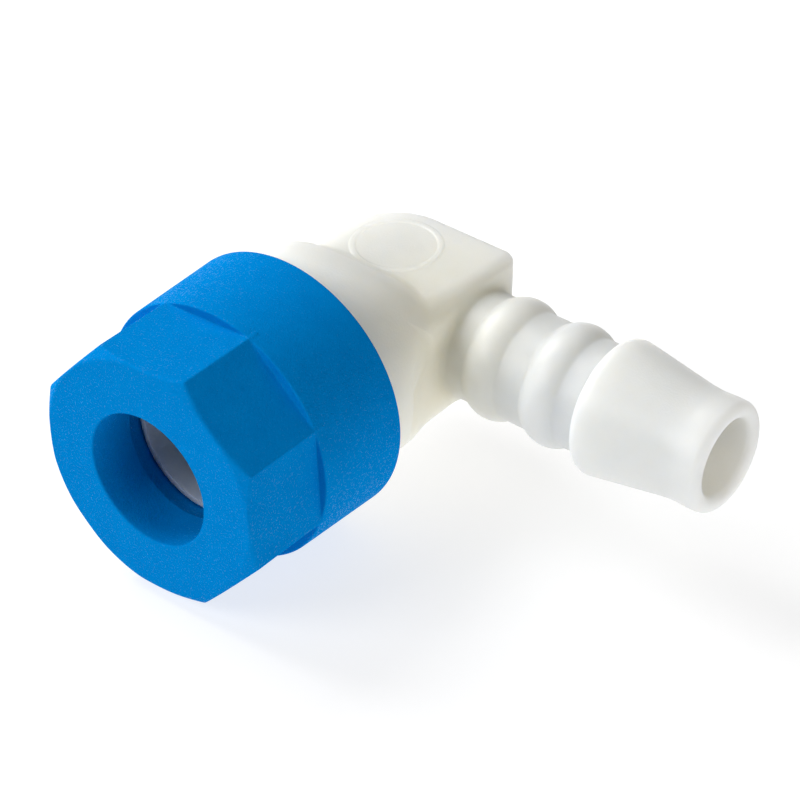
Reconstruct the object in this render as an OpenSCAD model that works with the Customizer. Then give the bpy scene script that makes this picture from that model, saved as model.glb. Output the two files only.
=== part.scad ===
// Push-to-connect pipe elbow: a round pipe port under a screwed union nut,
// turned through a right angle into a ribbed hose barb.
// Millimetres. The origin is the centre of the pipe port's mouth. The pipe
// leaves along -Y, the hose leaves along +X, and the flat pad faces +Z.

/* [Pipe] */
// Radius of the port's bore, for a pipe of 12 mm outside diameter
port_r = 6.15; // [6.05:0.05:6.25]
// Distance from the port's mouth to the hose barb's centre line
barb_y = 32.5; // [32:0.25:36]
// Depth at which the pipe meets its stop
stop_y = 25; // [24:0.25:26]

/* [Union nut] */
// Radius over the corners of the eight-sided grip
grip_corner_r = 12.05; // [12:0.05:12.3]
// Length of the eight-sided grip
grip_len = 8.55; // [8:0.05:9]
// Angle of the grip's first corner from the +X direction
grip_angle = 25.6; // [0:0.1:45]
// Radius of the chamfer circle on the front face
front_circle_r = 11.07; // [10.8:0.01:11.2]
// Depth of the front chamfer
front_chamfer = 0.75; // [0.5:0.05:1]
// Radius of the collar's front rim
collar_front_r = 12.02; // [12:0.01:12.2]
// Radius of the collar's rear rim
collar_rear_r = 12.28; // [12.2:0.01:12.5]
// Length of the whole nut
nut_len = 18; // [17.75:0.05:18.25]
// Depth at which the straight bore ends and the taper starts
taper_y = 4.5; // [4.25:0.05:4.6]

/* [Thread] */
// Pitch of the thread between the nut and the body
pitch = 1.5; // [1.4:0.05:1.55]
// Turns of the ridge inside the nut
nut_thread_turns = 2.5; // [1.5:0.25:2.5]
// Turns of the ridge on the body's sleeve
body_thread_turns = 2.25; // [1.5:0.25:2.25]
// Radius of the body's sleeve, at the root of its thread
sleeve_r = 9.05; // [9:0.01:9.1]

/* [Elbow body] */
// Radius of the shoulder behind the thread
shoulder_r = 10.35; // [10.3:0.01:10.4]
// Height of the flat pad above the centre lines
pad_z = 6.46; // [6.3:0.02:6.6]
// Depth of the underside below the centre lines
under_z = 5.6; // [5.5:0.05:6]
// Radius of the block's round end, at the outside of the turn
block_r = 5.85; // [5.6:0.05:5.9]
// Distance from the port's centre line to the barb's face
block_x = 9.2; // [9:0.05:9.4]
// Radius of the waterway behind the pipe stop
waterway_r = 4.25; // [4:0.05:4.4]

/* [Hose barb] */
// Radius of the barb's stem, for a hose of 10 mm bore
stem_r = 5.03; // [5:0.01:5.1]
// Radius over the two round ribs
rib_r = 5.65; // [5.5:0.01:5.8]
// Radius over the large cone's back rim
cone_r = 6.21; // [6.1:0.01:6.3]
// Distance from the port's centre line to the barb's tip
tip_x = 35.4; // [35:0.1:36]
// Radius of the waterway in the barb
barb_bore_r = 3.5; // [3.3:0.05:3.7]

/* [Hidden] */
$fn = 64;
eps = 0.01;
// Length of a cut that has to reach past any ring
past = 12;

// Colours of the mouldings, the steel and the rubber
white_plastic = [0.93, 0.93, 0.9];
blue_plastic = [0.03, 0.45, 0.82];
steel = [0.75, 0.76, 0.78];
black_rubber = [0.08, 0.08, 0.09];

// Cartridge in the nut: the taper, the rings, and the lip that keeps them in
taper_end_y = 9.3;
taper_end_r = 8.05;
taper_slope = (taper_end_r - port_r) / (taper_end_y - taper_y);
cavity_r = 8.45;
lip_start_y = 11.2;
lip_r = 8.15;
cavity_end_y = 11.5;
clamp_start_y = 6.3;
clamp_end_y = 9.9;
clamp_gap = 0.22;
clamp_bore_r = 6.12;
clamp_slot = 1;
clamp_slot_angle = 40;
grab_seat_y = 9.05;
grab_seat_r = 7.3;
grab_thick = 0.35;
grab_root_r = 6.7;
grab_tooth_r = 5.85;
grab_lean = 0.5;
grab_teeth = 14;
grab_slot = 0.7;
grab_gap = 0.05;
thrust_start_y = 10;
thrust_flange_end_y = 11.1;
thrust_end_y = 12.5;
thrust_flange_r = 8.3;
ring_bore_r = 6.15;
ring_outer_r = 7.45;
spacer_outer_r = 7.55;

// Seal pocket in the body
mouth_y = 11.65;
pocket_r = 7.6;
pocket_end_y = 17.2;
seal_section_r = 0.95;
seal_gap = 0.02;
seal_centre_r = pocket_r - seal_section_r - seal_gap;
front_seal_y = 13.5;
rear_seal_y = 16.2;
spacer_start_y = 14.5;
spacer_len = 0.7;
pipe_socket_r = 6.1;

// Thread: the body's ridge stands out, and the nut's ridge stands in
nut_ridge_start_y = 12;
body_ridge_start_y = nut_ridge_start_y + pitch / 2;
ridge_root_half = 0.34;
ridge_tip_half = 0.15;
body_ridge_r = 9.75;
nut_thread_r = 10;
nut_ridge_r = 9.3;
ridge_steps = 24;
ridge_bite = 0.15;
nut_thread_end_y = 16.2;
nut_counterbore_r = 10.55;

// Body behind the nut
shoulder_start_y = 16.9;
shoulder_end_y = 22.1;
shoulder_round = 7;
round_start_y = 24;
slope_start_y = 23.8;
pad_front_y = 28.4;
side_front_y = 28.6;
slope_end_y = 30;
side_inset = 0.05;
block_start_y = 23;
pad_edge = 1.8;
under_edge = 1.8;
left_edge = 0.5;
block_corner = 0.9;
back_y = barb_y + 5.7;
waterway_end_y = barb_y + 2;
emblem_r = 3.9;
emblem_width = 0.5;
emblem_height = 0.15;

// Barb, as distances from the port's centre line
rib_x = [12.95, 19.05];
rib_half_len = 1.7;
cone_back_x = 23.05;
cone_back_round = 1.3;
cone_end_x = 31.8;
tip_round = 0.75;
tip_r = stem_r + 0.05;
root_fillet = 0.7;

// Turns +Z into +Y, so that a turned shape points into the port
module into_port(y = 0) {
  translate([0, y, 0]) rotate([-90, 0, 0]) children();
}

// Turns +Z into +X at the barb's centre line
module along_barb(x = 0) {
  translate([x, barb_y, 0]) rotate([0, 90, 0]) children();
}

// Plain ring on the port's axis
module port_ring(y, length, outer_r, inner_r) {
  into_port(y) difference() {
    cylinder(h = length, r = outer_r);
    translate([0, 0, -1]) cylinder(h = length + 2, r = inner_r);
  }
}

// One step of a thread's ridge: its four corners at a turn's fraction. The
// corners run the other way round when the ridge stands inwards.
function ridge_section(turn, root_r, tip_r) =
  let (way = sign(tip_r - root_r))
  [for (corner = [[root_r, -ridge_root_half], [tip_r, -ridge_tip_half],
                  [tip_r, ridge_tip_half], [root_r, ridge_root_half]])
    [corner[0] * cos(360 * turn), corner[0] * sin(360 * turn),
     way * corner[1] + pitch * turn]];

// Helical ridge around +Z, right-handed, with flat ends
module ridge(root_r, tip_r, turns) {
  steps = floor(turns * ridge_steps);
  points = [for (i = [0:steps]) each ridge_section(i / ridge_steps, root_r, tip_r)];
  sides = [for (i = [0:steps - 1]) for (k = [0:3])
    each [[4 * i + k, 4 * i + (k + 1) % 4, 4 * i + 4 + k],
          [4 * i + (k + 1) % 4, 4 * i + 4 + (k + 1) % 4, 4 * i + 4 + k]]];
  ends = [[3, 2, 1, 0], [4 * steps, 4 * steps + 1, 4 * steps + 2, 4 * steps + 3]];
  polyhedron(points, concat(sides, ends));
}

// Eight-sided grip with its chamfered front, and the round collar behind it
module nut_outside() {
  into_port() intersection() {
    rotate(-grip_angle) cylinder(h = grip_len + 1, r = grip_corner_r, $fn = 8);
    union() {
      cylinder(h = front_chamfer, r1 = front_circle_r, r2 = grip_corner_r + 0.02);
      translate([0, 0, front_chamfer])
        cylinder(h = grip_len, r = grip_corner_r + 0.02);
    }
  }
  into_port(grip_len)
    cylinder(h = nut_len - grip_len, r1 = collar_front_r, r2 = collar_rear_r);
}

module union_nut() {
  color(blue_plastic) {
    difference() {
      nut_outside();
      into_port(-1) cylinder(h = taper_y + 2, r = port_r);
      into_port(taper_y)
        cylinder(h = taper_end_y - taper_y, r1 = port_r, r2 = taper_end_r);
      into_port(taper_end_y - eps)
        cylinder(h = lip_start_y - taper_end_y + eps, r = cavity_r);
      into_port(lip_start_y - eps)
        cylinder(h = cavity_end_y - lip_start_y + 1, r = lip_r);
      into_port(cavity_end_y)
        cylinder(h = nut_len, r = nut_thread_r);
      into_port(nut_thread_end_y)
        cylinder(h = nut_len, r = nut_counterbore_r);
    }
    into_port(nut_ridge_start_y)
      ridge(nut_thread_r + ridge_bite, nut_ridge_r, nut_thread_turns);
  }
}

// Split ring whose cone closes on the pipe as it is drawn into the taper
module clamp_ring() {
  front_r = port_r + taper_slope * (clamp_start_y - taper_y) - clamp_gap;
  rear_r = port_r + taper_slope * (taper_end_y - taper_y) - clamp_gap;
  color(white_plastic) difference() {
    union() {
      into_port(clamp_start_y)
        cylinder(h = taper_end_y - clamp_start_y, r1 = front_r, r2 = rear_r);
      into_port(taper_end_y - eps)
        cylinder(h = clamp_end_y - taper_end_y + eps, r = rear_r);
    }
    into_port() cylinder(h = clamp_end_y + 1, r = clamp_bore_r);
    into_port(grab_seat_y) cylinder(h = 2, r = grab_seat_r);
    into_port() rotate(-clamp_slot_angle)
      translate([0, -clamp_slot / 2, 0]) cube([past, clamp_slot, past]);
  }
}

// Stainless ring with teeth that lean the way the pipe goes in
module grab_ring() {
  start = grab_seat_y + grab_gap;
  color(steel) into_port() difference() {
    union() {
      translate([0, 0, start]) difference() {
        cylinder(h = grab_thick, r = grab_seat_r - grab_gap);
        translate([0, 0, -1]) cylinder(h = 2, r = grab_root_r - grab_gap);
      }
      rotate_extrude() polygon([
        [grab_root_r, start], [grab_root_r, start + grab_thick],
        [grab_tooth_r, start + grab_thick + grab_lean],
        [grab_tooth_r, start + grab_lean]]);
    }
    for (i = [0:grab_teeth - 1]) rotate(360 * i / grab_teeth)
      translate([0, -grab_slot / 2, 0]) cube([grab_root_r - 2 * grab_gap, grab_slot, past]);
  }
}

// Ring that keeps the clamp ring in the nut and stands on the front seal
module thrust_ring() {
  color(white_plastic) difference() {
    union() {
      into_port(thrust_start_y)
        cylinder(h = thrust_flange_end_y - thrust_start_y, r = thrust_flange_r);
      into_port(thrust_start_y)
        cylinder(h = thrust_end_y - thrust_start_y, r = ring_outer_r);
    }
    into_port() cylinder(h = thrust_end_y + 1, r = ring_bore_r);
  }
}

// O-ring on the port's axis
module seal(y) {
  color(black_rubber) into_port(y) rotate_extrude()
    translate([seal_centre_r, 0]) circle(r = seal_section_r, $fn = 32);
}

module front_seal() { seal(front_seal_y); }
module rear_seal() { seal(rear_seal_y); }

module seal_spacer() {
  color(white_plastic)
    port_ring(spacer_start_y, spacer_len, spacer_outer_r, ring_bore_r);
}

// Plan of the block: round at the outside of the turn, square at the barb's face
module block_plan() {
  translate([0, back_y - block_r]) circle(r = block_r);
  translate([-block_r, block_start_y]) square([block_r + eps, barb_y - block_start_y]);
  difference() {
    translate([0, block_start_y]) square([block_x, back_y - block_start_y]);
    translate([block_x - block_corner, back_y - block_corner]) difference() {
      square(block_corner + 1);
      circle(r = block_corner);
    }
  }
}

// Block that carries the pad, with its long edges rounded along Y
module block() {
  intersection() {
    translate([0, 0, -under_z]) linear_extrude(pad_z + under_z) block_plan();
    into_port(block_start_y - 1) linear_extrude(back_y - block_start_y + 2)
      rounded_section();
  }
}

// Cross-section of the block, seen along +Y, with +X to the right and Z down
module rounded_section() {
  hull() {
    translate([block_x - pad_edge, pad_edge - pad_z]) circle(r = pad_edge, $fn = 32);
    translate([block_x - under_edge, under_z - under_edge])
      circle(r = under_edge, $fn = 32);
    for (z = [left_edge - pad_z, under_z - left_edge])
      translate([left_edge - block_r, z]) circle(r = left_edge, $fn = 32);
  }
}

// Half of the shoulder's outline: straight, then rounded off towards the block
module shoulder_profile() {
  translate([0, shoulder_end_y - 1])
    square([shoulder_r, round_start_y - shoulder_end_y + 1]);
  intersection() {
    translate([shoulder_r - shoulder_round, round_start_y]) circle(r = shoulder_round);
    translate([0, shoulder_end_y]) square([shoulder_r + 1, slope_end_y - shoulder_end_y]);
  }
}

// Everything below a flat that slopes from the shoulder down to a height of
// face above the port's axis at front_y. It reaches right_x towards +X.
module below_flat(face, front_y, right_x) {
  reach = shoulder_r + 2;
  fall = (shoulder_r - face) / (front_y - slope_start_y);
  translate([-reach, 0, 0]) rotate([90, 0, 90]) linear_extrude(reach + right_x) polygon([
    [shoulder_end_y - 2, -reach],
    [slope_end_y, -reach],
    [slope_end_y, face - fall * (slope_end_y - front_y)],
    [front_y - (reach - face) / fall, reach],
    [shoulder_end_y - 2, reach]]);
}

// Round shoulder behind the thread. Flats slope from it to the pad, to the
// underside and to the block's plain side, and its barb side is cut flat, a
// little inside the block's face so that no two faces lie on each other.
module shoulder() {
  into_port(shoulder_start_y)
    cylinder(h = shoulder_end_y - shoulder_start_y, r = shoulder_r);
  intersection() {
    into_port() rotate_extrude() shoulder_profile();
    below_flat(pad_z, pad_front_y, block_x - side_inset);
    mirror([0, 0, 1]) below_flat(under_z, pad_front_y, shoulder_r + 1);
    rotate([0, -90, 0]) below_flat(block_r, side_front_y, shoulder_r + 1);
  }
}

// Outline of the barb, with the distance along it upwards and the radius across
module barb_outline() {
  cone_slope = atan2(cone_r - stem_r, cone_end_x - cone_back_x - cone_back_round);
  cone_centre = [cone_r - cone_back_round * cos(cone_slope), cone_back_x + cone_back_round];
  polygon(concat(
    [[0, 0], [stem_r + root_fillet, 0], [stem_r + root_fillet, block_x - eps]],
    [for (a = [0:15:90]) [stem_r + root_fillet * (1 - sin(a)),
                          block_x + root_fillet * (1 - cos(a))]],
    [[stem_r, cone_back_x]],
    [for (a = [-90:15:0]) cone_centre + cone_back_round * [cos(a), sin(a)]],
    [[stem_r, cone_end_x], [tip_r, tip_x - tip_round]],
    [for (a = [15:15:180]) [tip_r - tip_round, tip_x - tip_round]
                         + tip_round * [cos(a), sin(a)]],
    [[0, tip_x - tip_round]]));
}

// Round rib on the stem: the cap of a circle that is wider than it is high
module rib_outline(x) {
  height = rib_r - stem_r;
  radius = (rib_half_len * rib_half_len + height * height) / (2 * height);
  intersection() {
    translate([rib_r - radius, x]) circle(r = radius);
    translate([stem_r - 1, x - rib_half_len]) square([3, 2 * rib_half_len]);
  }
}

module barb() {
  along_barb() rotate_extrude() {
    barb_outline();
    for (x = rib_x) rib_outline(x);
  }
}

// Plain raised ring on the pad
module emblem() {
  translate([0, barb_y, pad_z - eps]) difference() {
    cylinder(h = emblem_height + eps, r = emblem_r + emblem_width / 2);
    translate([0, 0, -1]) cylinder(h = 3, r = emblem_r - emblem_width / 2);
  }
}

module elbow_body() {
  color(white_plastic) difference() {
    union() {
      into_port(mouth_y) cylinder(h = shoulder_start_y - mouth_y + 1, r = sleeve_r);
      into_port(body_ridge_start_y)
        ridge(sleeve_r - ridge_bite, body_ridge_r, body_thread_turns);
      shoulder();
      block();
      barb();
      emblem();
    }
    into_port(mouth_y - 1) cylinder(h = pocket_end_y - mouth_y + 1, r = pocket_r);
    into_port(mouth_y) cylinder(h = stop_y - mouth_y, r = pipe_socket_r);
    into_port(stop_y - 1) cylinder(h = waterway_end_y - stop_y + 1, r = waterway_r);
    along_barb() cylinder(h = tip_x + 1, r = barb_bore_r);
  }
}

elbow_body();
union_nut();
clamp_ring();
grab_ring();
thrust_ring();
front_seal();
seal_spacer();
rear_seal();
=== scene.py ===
import math

import bpy
import numpy as np
from mathutils import Matrix, Vector


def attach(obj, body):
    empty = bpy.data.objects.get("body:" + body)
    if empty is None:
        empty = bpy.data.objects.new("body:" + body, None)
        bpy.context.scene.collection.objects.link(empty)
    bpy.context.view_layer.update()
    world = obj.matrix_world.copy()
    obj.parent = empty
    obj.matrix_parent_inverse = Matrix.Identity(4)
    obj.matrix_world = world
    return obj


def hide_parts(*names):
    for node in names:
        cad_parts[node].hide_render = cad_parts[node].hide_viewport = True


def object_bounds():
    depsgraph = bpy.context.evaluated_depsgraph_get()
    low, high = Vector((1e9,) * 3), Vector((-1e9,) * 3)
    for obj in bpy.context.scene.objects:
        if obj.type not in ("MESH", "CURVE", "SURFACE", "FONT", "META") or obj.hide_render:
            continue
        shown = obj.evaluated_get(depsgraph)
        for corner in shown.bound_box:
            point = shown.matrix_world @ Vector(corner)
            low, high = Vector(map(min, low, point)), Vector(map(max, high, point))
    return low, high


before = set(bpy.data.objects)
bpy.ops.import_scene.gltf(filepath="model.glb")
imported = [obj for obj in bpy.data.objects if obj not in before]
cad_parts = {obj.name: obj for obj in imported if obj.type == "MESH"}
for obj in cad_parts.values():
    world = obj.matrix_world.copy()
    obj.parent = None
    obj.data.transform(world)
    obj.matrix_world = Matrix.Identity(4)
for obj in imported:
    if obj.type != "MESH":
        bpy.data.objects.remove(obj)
cad_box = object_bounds()

MM = 0.001

# ---------------------------------------------------------------- distances
# Shapes are signed distances in millimetres, negative inside. p is a dict of
# the coordinates that the shapes need, worked out once for all the points.


def both(a, b, radius):
    """Where a and b overlap, with the edge between them rounded."""
    return np.minimum(-radius, np.maximum(a, b)) + np.hypot(
        np.maximum(radius + a, 0), np.maximum(radius + b, 0))


def either(a, b, radius):
    """a and b together, with a fillet between them."""
    return -both(-a, -b, radius)


def less(a, b, radius):
    """a with b cut out of it, with a rounded rim."""
    return both(a, -b, radius)


def ease(low, high, value):
    t = np.clip((value - low) / (high - low), 0, 1)
    return t * t * (3 - 2 * t)


def coordinates(points):
    x, y, z = points[:, 0], points[:, 1], points[:, 2]
    return {
        "x": x, "y": y, "z": z,
        "port": np.hypot(x, z),
        "turn": np.arctan2(-z, x) / (2 * math.pi) % 1,
        "barb": np.hypot(y - BARB_Y, z),
    }


# ---------------------------------------------------------------- sizes, mm
# Y is the distance from the port's mouth, X from the port's centre line.
PORT_R = 6.15
BARB_Y = 32.5

# thread: the ridges' pitch, half width at the root, and the width lost by the tip
PITCH = 1.5
RIDGE_ROOT_HALF = 0.34
RIDGE_NARROWS = 0.19
RIDGE_RUN_OUT = 0.12

# nut outside
GRIP_CORNER_R = 12.05
GRIP_LEN = 8.55
GRIP_ANGLE = 25.6
FRONT_CIRCLE_R = 11.07
COLLAR_FRONT_R = 12.02
COLLAR_SLOPE = 0.26 / 9.45
NUT_LEN = 18

# nut inside
TAPER_Y = 4.5
TAPER_SLOPE = 1.9 / 4.8
TAPER_END_Y = 9.3
CAVITY_R = 8.45
LIP_START_Y = 11.2
LIP_R = 8.15
CAVITY_END_Y = 11.5
NUT_THREAD_R = 10
NUT_RIDGE_R = 9.3
NUT_RIDGE_START_Y = 12
NUT_TURNS = 2.5
COUNTERBORE_Y = 16.2
COUNTERBORE_R = 10.55

# body: threaded sleeve and the bores in it
MOUTH_Y = 11.65
SLEEVE_R = 9.05
BODY_RIDGE_R = 9.75
BODY_TURNS = 2.25
POCKET_R = 7.6
POCKET_END_Y = 17.2
SOCKET_R = 6.1
STOP_Y = 25
WATERWAY_R = 4.25
WATERWAY_END_Y = 34.5

# body: round shoulder, and the flats that slope from it to the block
SHOULDER_R = 10.35
SHOULDER_START_Y = 16.9
SHOULDER_END_Y = 22.1
SHOULDER_ROUND = 7
ROUND_START_Y = 24
SLOPE_START_Y = 23.8
PAD_FRONT_Y = 28.4
SIDE_FRONT_Y = 28.6

# body: block with the pad and its plain ring
PAD_Z = 6.46
UNDER_Z = 5.6
BLOCK_X = 9.2
BLOCK_R = 5.85
BACK_Y = BARB_Y + 5.7
RING_R = 3.9
RING_HALF_WIDTH = 0.24
RING_HEIGHT = 0.1

# hose barb
STEM_R = 5.03
RIB_R = 5.65
RIB_HALF = 1.7
RIB_X = (12.95, 19.05)
CONE_R = 6.21
CONE_BACK_X = 23.05
CONE_RIM_X = 24.35
CONE_END_X = 31.8
TIP_X = 35.4
TIP_ROUND = 0.75
BARB_BORE_R = 3.5


def thread(p, start_y, turns, root_r, tip_r):
    """Helical ridge whose ends run out into the wall."""
    level = (p["y"] - start_y) / PITCH - p["turn"]
    lap = np.clip(np.round(level), np.ceil(-p["turn"]), np.floor(turns - p["turn"]))
    along = lap + p["turn"]
    off = np.abs(level - lap) * PITCH
    ends = ease(0, RIDGE_RUN_OUT, along) * ease(0, RIDGE_RUN_OUT, turns - along)
    out = 1 if tip_r > root_r else -1
    height = (p["port"] - root_r) * out
    tall = abs(tip_r - root_r)
    width = RIDGE_ROOT_HALF - RIDGE_NARROWS * height / tall
    return both(height - tall * (0.15 + 0.85 * ends), off - width, 0.1)


def slope(p, across, face, front_y):
    """A flat that falls from the shoulder to the block's face."""
    fall = (SHOULDER_R - face) / (front_y - SLOPE_START_Y)
    return (across - face + fall * (p["y"] - front_y)) / math.hypot(1, fall)


def barb_shape(p):
    x, r = p["x"], p["barb"]
    lip = 0.06 * np.exp(-((x - 34) / 0.9) ** 2)
    shape = both(r - STEM_R - lip, x - TIP_X, TIP_ROUND)
    swell = (RIB_HALF ** 2 + (RIB_R - STEM_R) ** 2) / (2 * (RIB_R - STEM_R))
    for rib_x in RIB_X:
        rib = np.hypot(x - rib_x, r - RIB_R + swell) - swell
        shape = either(shape, rib, 0.12)
    lean = math.atan2(CONE_R - STEM_R, CONE_END_X - CONE_RIM_X)
    cone = (r - STEM_R - (CONE_END_X - x) * math.tan(lean)) * math.cos(lean)
    cone = both(cone, CONE_BACK_X - x, 1.25)
    shape = either(shape, np.maximum(cone, x - 33), 0.15)
    return np.maximum(shape, 4 - x)


def elbow_shape(p):
    x, y, z, r = p["x"], p["y"], p["z"], p["port"]

    # round shoulder with its three sloping flats
    past_r = r - (SHOULDER_R - SHOULDER_ROUND)
    past_y = y - ROUND_START_Y
    dome = (np.hypot(np.maximum(past_r, 0), np.maximum(past_y, 0))
            + np.minimum(np.maximum(past_r, past_y), 0) - SHOULDER_ROUND)
    dome = both(dome, slope(p, z, PAD_Z, PAD_FRONT_Y), 1.6)
    dome = both(dome, slope(p, -z, UNDER_Z, PAD_FRONT_Y), 1.6)
    dome = both(dome, slope(p, -x, BLOCK_R, SIDE_FRONT_Y), 1.2)
    dome = both(dome, SHOULDER_START_Y - y, 0.2)

    # block, round at the outside of the turn. Its edges on the barb's side
    # are rounder at the top, and most of all near the shoulder.
    high = ease(-1, 4, z)
    edge = 1.8 + high * (1.2 * ease(34, 28, y) - 0.4)
    block = both(-x - BLOCK_R, y - BACK_Y, BLOCK_R)
    block = both(block, z - PAD_Z, 0.7)
    block = both(block, -z - UNDER_Z, 0.7)
    block = np.maximum(block, ROUND_START_Y - y)
    block = both(block, x - BLOCK_X, edge)

    # the barb's side is cut flat behind the shoulder, in a hollow step that
    # is longer and softer towards the pad
    step = np.clip((y - SHOULDER_END_Y) / (1.4 + 4 * high), 0, 1)
    side = BLOCK_X + (SHOULDER_R - BLOCK_X) * (1 - step) ** 2
    cut = np.minimum(x - side, y - SHOULDER_END_Y)
    dome = both(dome, cut, 0.2 + 1.6 * ease(SHOULDER_END_Y, 27, y))
    core = either(dome, block, 0.5)
    core = both(core, cut, 0.2)

    sleeve = both(r - SLEEVE_R, MOUTH_Y - y, 0.25)
    sleeve = np.maximum(sleeve, y - 18)
    ridge = thread(p, NUT_RIDGE_START_Y + PITCH / 2, BODY_TURNS, SLEEVE_R, BODY_RIDGE_R)
    core = either(core, either(sleeve, ridge, 0.08), 0.15)
    core = either(core, barb_shape(p), 0.75)

    from_middle = np.hypot(x, y - BARB_Y)
    ring = both(np.abs(from_middle - RING_R) - RING_HALF_WIDTH, z - PAD_Z - RING_HEIGHT, 0.1)
    core = either(core, np.maximum(ring, 5.5 - z), 0.1)

    void = np.maximum(r - POCKET_R, y - POCKET_END_Y)
    void = np.minimum(void, np.maximum(r - SOCKET_R, y - STOP_Y))
    void = np.minimum(void, np.maximum(r - WATERWAY_R, y - WATERWAY_END_Y))
    core = less(core, void, 0.2)
    hose_void = np.maximum(p["barb"] - BARB_BORE_R, -x)
    return less(core, hose_void, 0.15 + 0.6 * ease(32.5, 33.8, x))


def nut_shape(p):
    x, y, z, r = p["x"], p["y"], p["z"], p["port"]

    # eight-sided grip: u is the distance past a flat, v past its end
    corner_round = 0.22
    flat = GRIP_CORNER_R * math.cos(math.pi / 8) - corner_round
    half = flat * math.tan(math.pi / 8)
    step = math.pi / 4
    angle = (np.arctan2(z, x) - math.radians(GRIP_ANGLE)) % step - step / 2
    u, v = r * np.cos(angle) - flat, np.abs(r * np.sin(angle)) - half
    grip = np.hypot(np.maximum(u, 0), np.maximum(v, 0)) * (u > 0) + np.minimum(u, 0)
    grip = grip - corner_round
    grip = both(grip, ((r - FRONT_CIRCLE_R) * 0.75 - y) / 1.25, 0.18)
    grip = both(grip, -y, 0.12)
    grip = np.maximum(grip, y - 9.5)

    collar = r - COLLAR_FRONT_R - (y - GRIP_LEN) * COLLAR_SLOPE
    collar = both(collar, GRIP_LEN - y, 0.15)
    collar = both(collar, y - NUT_LEN, 0.25)
    nut = either(grip, collar, 0.12)

    # the cuts overlap a little along Y, so that no skin is left between them
    void = np.maximum(r - PORT_R, y - 4.8)
    cone = (r - PORT_R - TAPER_SLOPE * (y - TAPER_Y)) / math.hypot(1, TAPER_SLOPE)
    for wall, start_y, end_y in (
            (cone, TAPER_Y, TAPER_END_Y),
            (r - CAVITY_R, TAPER_END_Y - 0.01, LIP_START_Y),
            (r - LIP_R, LIP_START_Y - 0.1, CAVITY_END_Y + 0.1)):
        void = np.minimum(void, np.maximum(np.maximum(wall, start_y - y), y - end_y))
    void = np.minimum(void, np.maximum(r - NUT_THREAD_R, CAVITY_END_Y - y))
    void = np.minimum(void, np.maximum(r - COUNTERBORE_R, COUNTERBORE_Y - y))
    nut = less(nut, void, 0.18)
    ridge = thread(p, NUT_RIDGE_START_Y, NUT_TURNS, NUT_THREAD_R, NUT_RIDGE_R)
    return either(nut, np.maximum(ridge, r - 10.6), 0.08)


# ---------------------------------------------------------------- mouldings


def gradient(shape, points, here):
    """How shape rises at the points, where it has the values in here."""
    step = 0.004  # mm
    parts = []
    for axis in range(3):
        shift = np.zeros(3)
        shift[axis] = step
        parts.append(shape(coordinates(points + shift)) - here)
    return np.stack(parts, 1) / step


def settled(shape, points):
    """The points moved onto the surface, by one step of Newton's method."""
    here = shape(coordinates(points))
    slopes = gradient(shape, points, here)
    size = np.maximum((slopes ** 2).sum(1), 0.05)
    return points - np.clip(here / size, -0.3, 0.3)[:, None] * slopes


VOXEL = 0.13  # mm


def moulding(name, node, shape):
    """A fine, even mesh on the surface of shape, started from the CAD node."""
    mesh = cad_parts[node].data.copy()
    mesh.transform(Matrix.Scale(1 / MM, 4))
    start = bpy.data.objects.new(name + "_start", mesh)
    bpy.context.scene.collection.objects.link(start)
    remesh = start.modifiers.new("voxels", "REMESH")
    remesh.mode = "VOXEL"
    remesh.voxel_size = VOXEL
    smooth = start.modifiers.new("even", "SMOOTH")
    smooth.factor = 0.5
    smooth.iterations = 4
    bpy.context.view_layer.update()
    done = start.evaluated_get(bpy.context.evaluated_depsgraph_get())
    mesh = bpy.data.meshes.new_from_object(done)
    mesh.name = name
    bpy.data.objects.remove(start)
    points = np.empty(len(mesh.vertices) * 3)
    mesh.vertices.foreach_get("co", points)
    points = points.reshape(-1, 3)
    edges = np.empty(len(mesh.edges) * 2, int)
    mesh.edges.foreach_get("vertices", edges)
    edges = edges.reshape(-1, 2)
    count = np.bincount(edges.ravel(), minlength=len(points))[:, None]
    for _ in range(4):
        points = settled(shape, points)
        total = np.stack([
            np.bincount(edges[:, 0], points[edges[:, 1], k], len(points))
            + np.bincount(edges[:, 1], points[edges[:, 0], k], len(points))
            for k in range(3)], 1)
        points = points + 0.5 * (total / count - points)
    for _ in range(2):
        points = settled(shape, points)
    slopes = gradient(shape, points, shape(coordinates(points)))
    slopes /= np.maximum(np.linalg.norm(slopes, axis=1), 1e-6)[:, None]
    mesh.vertices.foreach_set("co", (points * MM).ravel())
    mesh.update()
    mesh.materials.clear()
    mesh.polygons.foreach_set("use_smooth", np.ones(len(mesh.polygons), bool))
    mesh.normals_split_custom_set_from_vertices(slopes.tolist())
    piece = bpy.data.objects.new(name, mesh)
    bpy.context.scene.collection.objects.link(piece)
    return piece


elbow = moulding("elbow_moulding", "elbow_body", elbow_shape)
nut = moulding("nut_moulding", "union_nut", nut_shape)

# ---------------------------------------------------------------- materials


# two tones each, mixed by a cloudy noise
WHITE_PLAIN = (0.80, 0.802, 0.755), (0.82, 0.822, 0.78)
# the second pair is painted shade: a warmer, slightly darker white for the shaded crease at
# the barb's root
WHITE_ROOT_SHADE = (0.835, 0.79, 0.65), (0.855, 0.81, 0.675)
BLUE_TONES = (0.0, 0.21, 0.60), (0.0, 0.227, 0.63)


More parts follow.
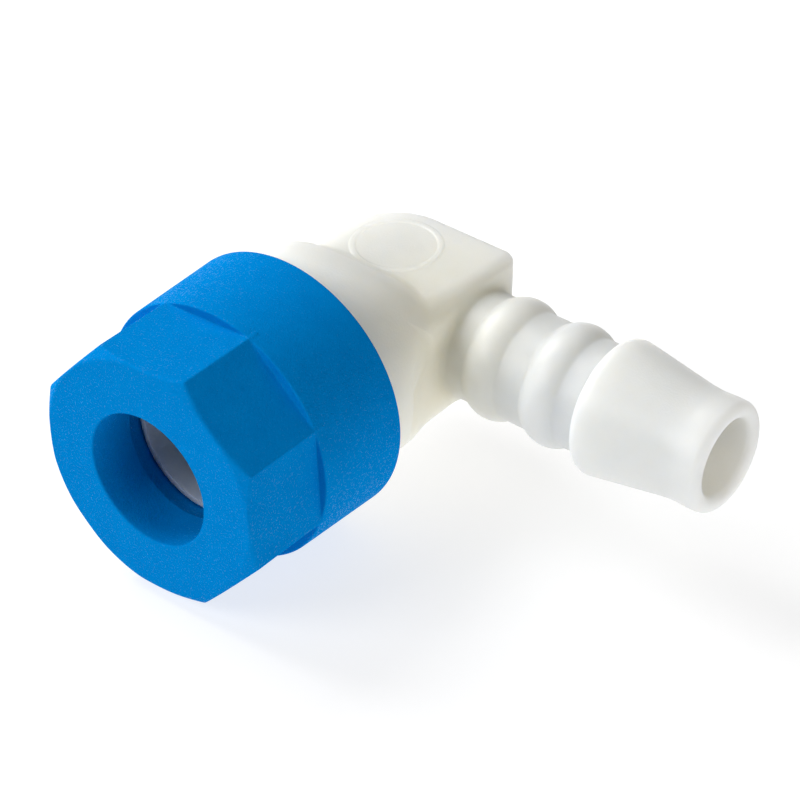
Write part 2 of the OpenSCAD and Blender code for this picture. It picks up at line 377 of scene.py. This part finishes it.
class Nodes:
    """A new material, with short ways to add and join its nodes."""

    def __init__(self, name):
        self.material = bpy.data.materials.new(name)
        self.material.use_nodes = True
        self.tree = self.material.node_tree
        self.shader = self.tree.nodes["Principled BSDF"]
        where = self.add("ShaderNodeTexCoord")
        millimetres = self.add("ShaderNodeMapping")
        millimetres.inputs["Scale"].default_value = (1 / MM,) * 3
        self.join(where.outputs["Object"], millimetres.inputs["Vector"])
        self.place = millimetres.outputs["Vector"]

    def add(self, kind, **values):
        node = self.tree.nodes.new(kind)
        for key, value in values.items():
            setattr(node, key, value)
        return node

    def join(self, out, into):
        self.tree.links.new(out, into)

    def noise(self, scale, detail=2.0, rough=0.5):
        node = self.add("ShaderNodeTexNoise")
        node.inputs["Scale"].default_value = scale
        node.inputs["Detail"].default_value = detail
        node.inputs["Roughness"].default_value = rough
        self.join(self.place, node.inputs["Vector"])
        return node.outputs["Fac"]

    def spread(self, value, low, high, to_low, to_high):
        node = self.add("ShaderNodeMapRange")
        for key, number in (("From Min", low), ("From Max", high),
                            ("To Min", to_low), ("To Max", to_high)):
            node.inputs[key].default_value = number
        self.join(value, node.inputs["Value"])
        return node.outputs["Result"]

    def blend(self, value, first, second):
        node = self.add("ShaderNodeMix", data_type="RGBA")
        self.join(value, node.inputs["Factor"])
        node.inputs["A"].default_value = (*first, 1)
        node.inputs["B"].default_value = (*second, 1)
        return node.outputs["Result"]

    def bump(self, height, strength, distance, under=None):
        node = self.add("ShaderNodeBump")
        node.inputs["Strength"].default_value = strength
        node.inputs["Distance"].default_value = distance
        self.join(height, node.inputs["Height"])
        if under:
            self.join(under, node.inputs["Normal"])
        return node.outputs["Normal"]

    def set(self, **values):
        for key, value in values.items():
            self.shader.inputs[key.replace("_", " ")].default_value = value


def white_acetal():
    n = Nodes("natural_acetal")
    cloud = n.spread(n.noise(0.35, 2, 0.5), 0.3, 0.7, 0, 1)
    # painted shade: the white turns warmer and a little darker around the barb's root,
    # standing in for the shaded crease there and for light going deep into the thick
    # moulding
    root_shade_centre = n.add("ShaderNodeVectorMath", operation="DISTANCE")
    n.join(n.place, root_shade_centre.inputs[0])
    root_shade_centre.inputs[1].default_value = (7.5, 28.5, 0.5)
    root_shade_amount = n.spread(root_shade_centre.outputs["Value"], 3, 13, 1, 0)
    root_shade_mix = n.add("ShaderNodeMix", data_type="RGBA")
    n.join(root_shade_amount, root_shade_mix.inputs["Factor"])
    n.join(n.blend(cloud, *WHITE_PLAIN), root_shade_mix.inputs["A"])
    n.join(n.blend(cloud, *WHITE_ROOT_SHADE), root_shade_mix.inputs["B"])
    n.join(root_shade_mix.outputs["Result"], n.shader.inputs["Base Color"])
    fine = n.noise(4.5, 3, 0.65)
    n.join(n.spread(fine, 0.35, 0.65, 0.32, 0.48), n.shader.inputs["Roughness"])
    n.join(n.bump(fine, 0.6, 0.00003), n.shader.inputs["Normal"])
    n.set(Subsurface_Weight=1.0, Subsurface_Radius=(1.0, 0.92, 0.8),
          Subsurface_Scale=0.006, IOR=1.48, Specular_IOR_Level=0.4)
    return n.material


def blue_acetal():
    n = Nodes("blue_acetal")
    cloud = n.spread(n.noise(0.5, 3, 0.6), 0.3, 0.7, 0, 1)
    n.join(n.blend(cloud, *BLUE_TONES), n.shader.inputs["Base Color"])
    fine = n.noise(8, 2, 0.7)
    coarse = n.noise(2.6, 2, 0.5)
    n.join(n.spread(fine, 0.35, 0.65, 0.25, 0.5), n.shader.inputs["Roughness"])
    n.join(n.bump(fine, 1.0, 0.00006, n.bump(coarse, 0.25, 0.00003)),
           n.shader.inputs["Normal"])
    glint = n.spread(n.noise(5.5, 3, 0.75), 0.56, 0.74, 0, 0.3)
    n.join(glint, n.shader.inputs["Specular IOR Level"])
    n.set(IOR=1.48)
    return n.material


def stamped_steel():
    n = Nodes("stamped_steel")
    n.set(Metallic=1.0)
    wear = n.noise(3, 4, 0.6)
    n.join(n.blend(wear, (0.52, 0.52, 0.53), (0.68, 0.68, 0.7)),
           n.shader.inputs["Base Color"])
    n.join(n.spread(wear, 0.3, 0.7, 0.2, 0.38), n.shader.inputs["Roughness"])
    n.join(n.bump(n.noise(14, 2, 0.5), 0.3, 0.00001), n.shader.inputs["Normal"])
    return n.material


def seal_rubber():
    n = Nodes("seal_rubber")
    bloom = n.noise(1.5, 4, 0.6)
    n.join(n.blend(bloom, (0.012, 0.012, 0.013), (0.03, 0.03, 0.032)),
           n.shader.inputs["Base Color"])
    n.join(n.spread(bloom, 0.3, 0.7, 0.35, 0.55), n.shader.inputs["Roughness"])
    n.join(n.bump(n.noise(9, 3, 0.6), 0.35, 0.00001), n.shader.inputs["Normal"])
    n.set(IOR=1.5)
    return n.material


def paper():
    n = Nodes("white_paper")
    n.join(n.blend(n.noise(0.05, 3, 0.6), (0.34, 0.34, 0.34), (0.35, 0.35, 0.35)),
           n.shader.inputs["Base Color"])
    n.set(Roughness=0.9, Specular_IOR_Level=0.1, Emission_Color=(1, 1, 1, 1),
          Emission_Strength=0.74)
    return n.material


WHITE, BLUE, STEEL, RUBBER = white_acetal(), blue_acetal(), stamped_steel(), seal_rubber()

for piece, node, body, material, slot in (
        (elbow, "elbow_body", "body", WHITE, "white_plastic"),
        (nut, "union_nut", "nut", BLUE, "blue_plastic")):
    piece.data.materials.append(material)
    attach(piece, body)
    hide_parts(node)

for node, material in (
        ("clamp_ring", WHITE), ("thrust_ring", WHITE), ("seal_spacer", WHITE),
        ("grab_ring", STEEL), ("front_seal", RUBBER), ("rear_seal", RUBBER)):
    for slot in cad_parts[node].material_slots:
        slot.material = material

# ---------------------------------------------------------------- stage


MIDDLE = (0.008, 0.020, 0.0)
FLOOR_HALF = 12.0


def lamp(name, spot, size, power):
    """A round lamp that shines at the middle of the part."""
    data = bpy.data.lights.new(name, "AREA")
    data.shape = "DISK"
    data.size = size
    data.energy = power
    obj = bpy.data.objects.new(name, data)
    obj.rotation_mode = "QUATERNION"
    obj.rotation_quaternion = (Vector(spot) - Vector(MIDDLE)).to_track_quat("Z", "Y")
    obj.location = spot
    bpy.context.scene.collection.objects.link(obj)


low = cad_box[0][2]
floor_mesh = bpy.data.meshes.new("floor")
floor_mesh.from_pydata(
    [(x * FLOOR_HALF, y * FLOOR_HALF, low) for x, y in ((-1, -1), (1, -1), (1, 1), (-1, 1))],
    [], [(0, 1, 2, 3)])
floor_mesh.materials.append(paper())
floor = bpy.data.objects.new("floor", floor_mesh)
bpy.context.scene.collection.objects.link(floor)

lamp("key", (-0.47, 0.05, 0.46), 0.45, 4.2)
lamp("front_fill", (-0.24, -0.45, 0.38), 0.35, 2.1)
lamp("right_fill", (0.60, -0.05, 0.0), 0.4, 1.9)

world = bpy.data.worlds.new("studio")
world.use_nodes = True
world.node_tree.nodes["Background"].inputs["Color"].default_value = (1, 1, 1, 1)
world.node_tree.nodes["Background"].inputs["Strength"].default_value = 0.12
bpy.context.scene.world = world

bpy.context.scene.view_settings.view_transform = "Standard"

# ---------------------------------------------------------------- camera

right = (0.77828, 0.62790, 0.00432)
up = (-0.37663, 0.46130, 0.80334)
back = (0.50243, -0.62685, 0.59551)
spot = (0.13285, -0.13268, 0.14669)
data = bpy.data.cameras.new("camera")
data.sensor_width = 36
data.lens = 130.5
data.clip_start = 0.01
data.clip_end = 20
camera = bpy.data.objects.new("camera", data)
camera.matrix_world = Matrix(
    [(right[i], up[i], back[i], spot[i]) for i in range(3)] + [(0, 0, 0, 1)])
bpy.context.scene.collection.objects.link(camera)
bpy.context.scene.camera = camera
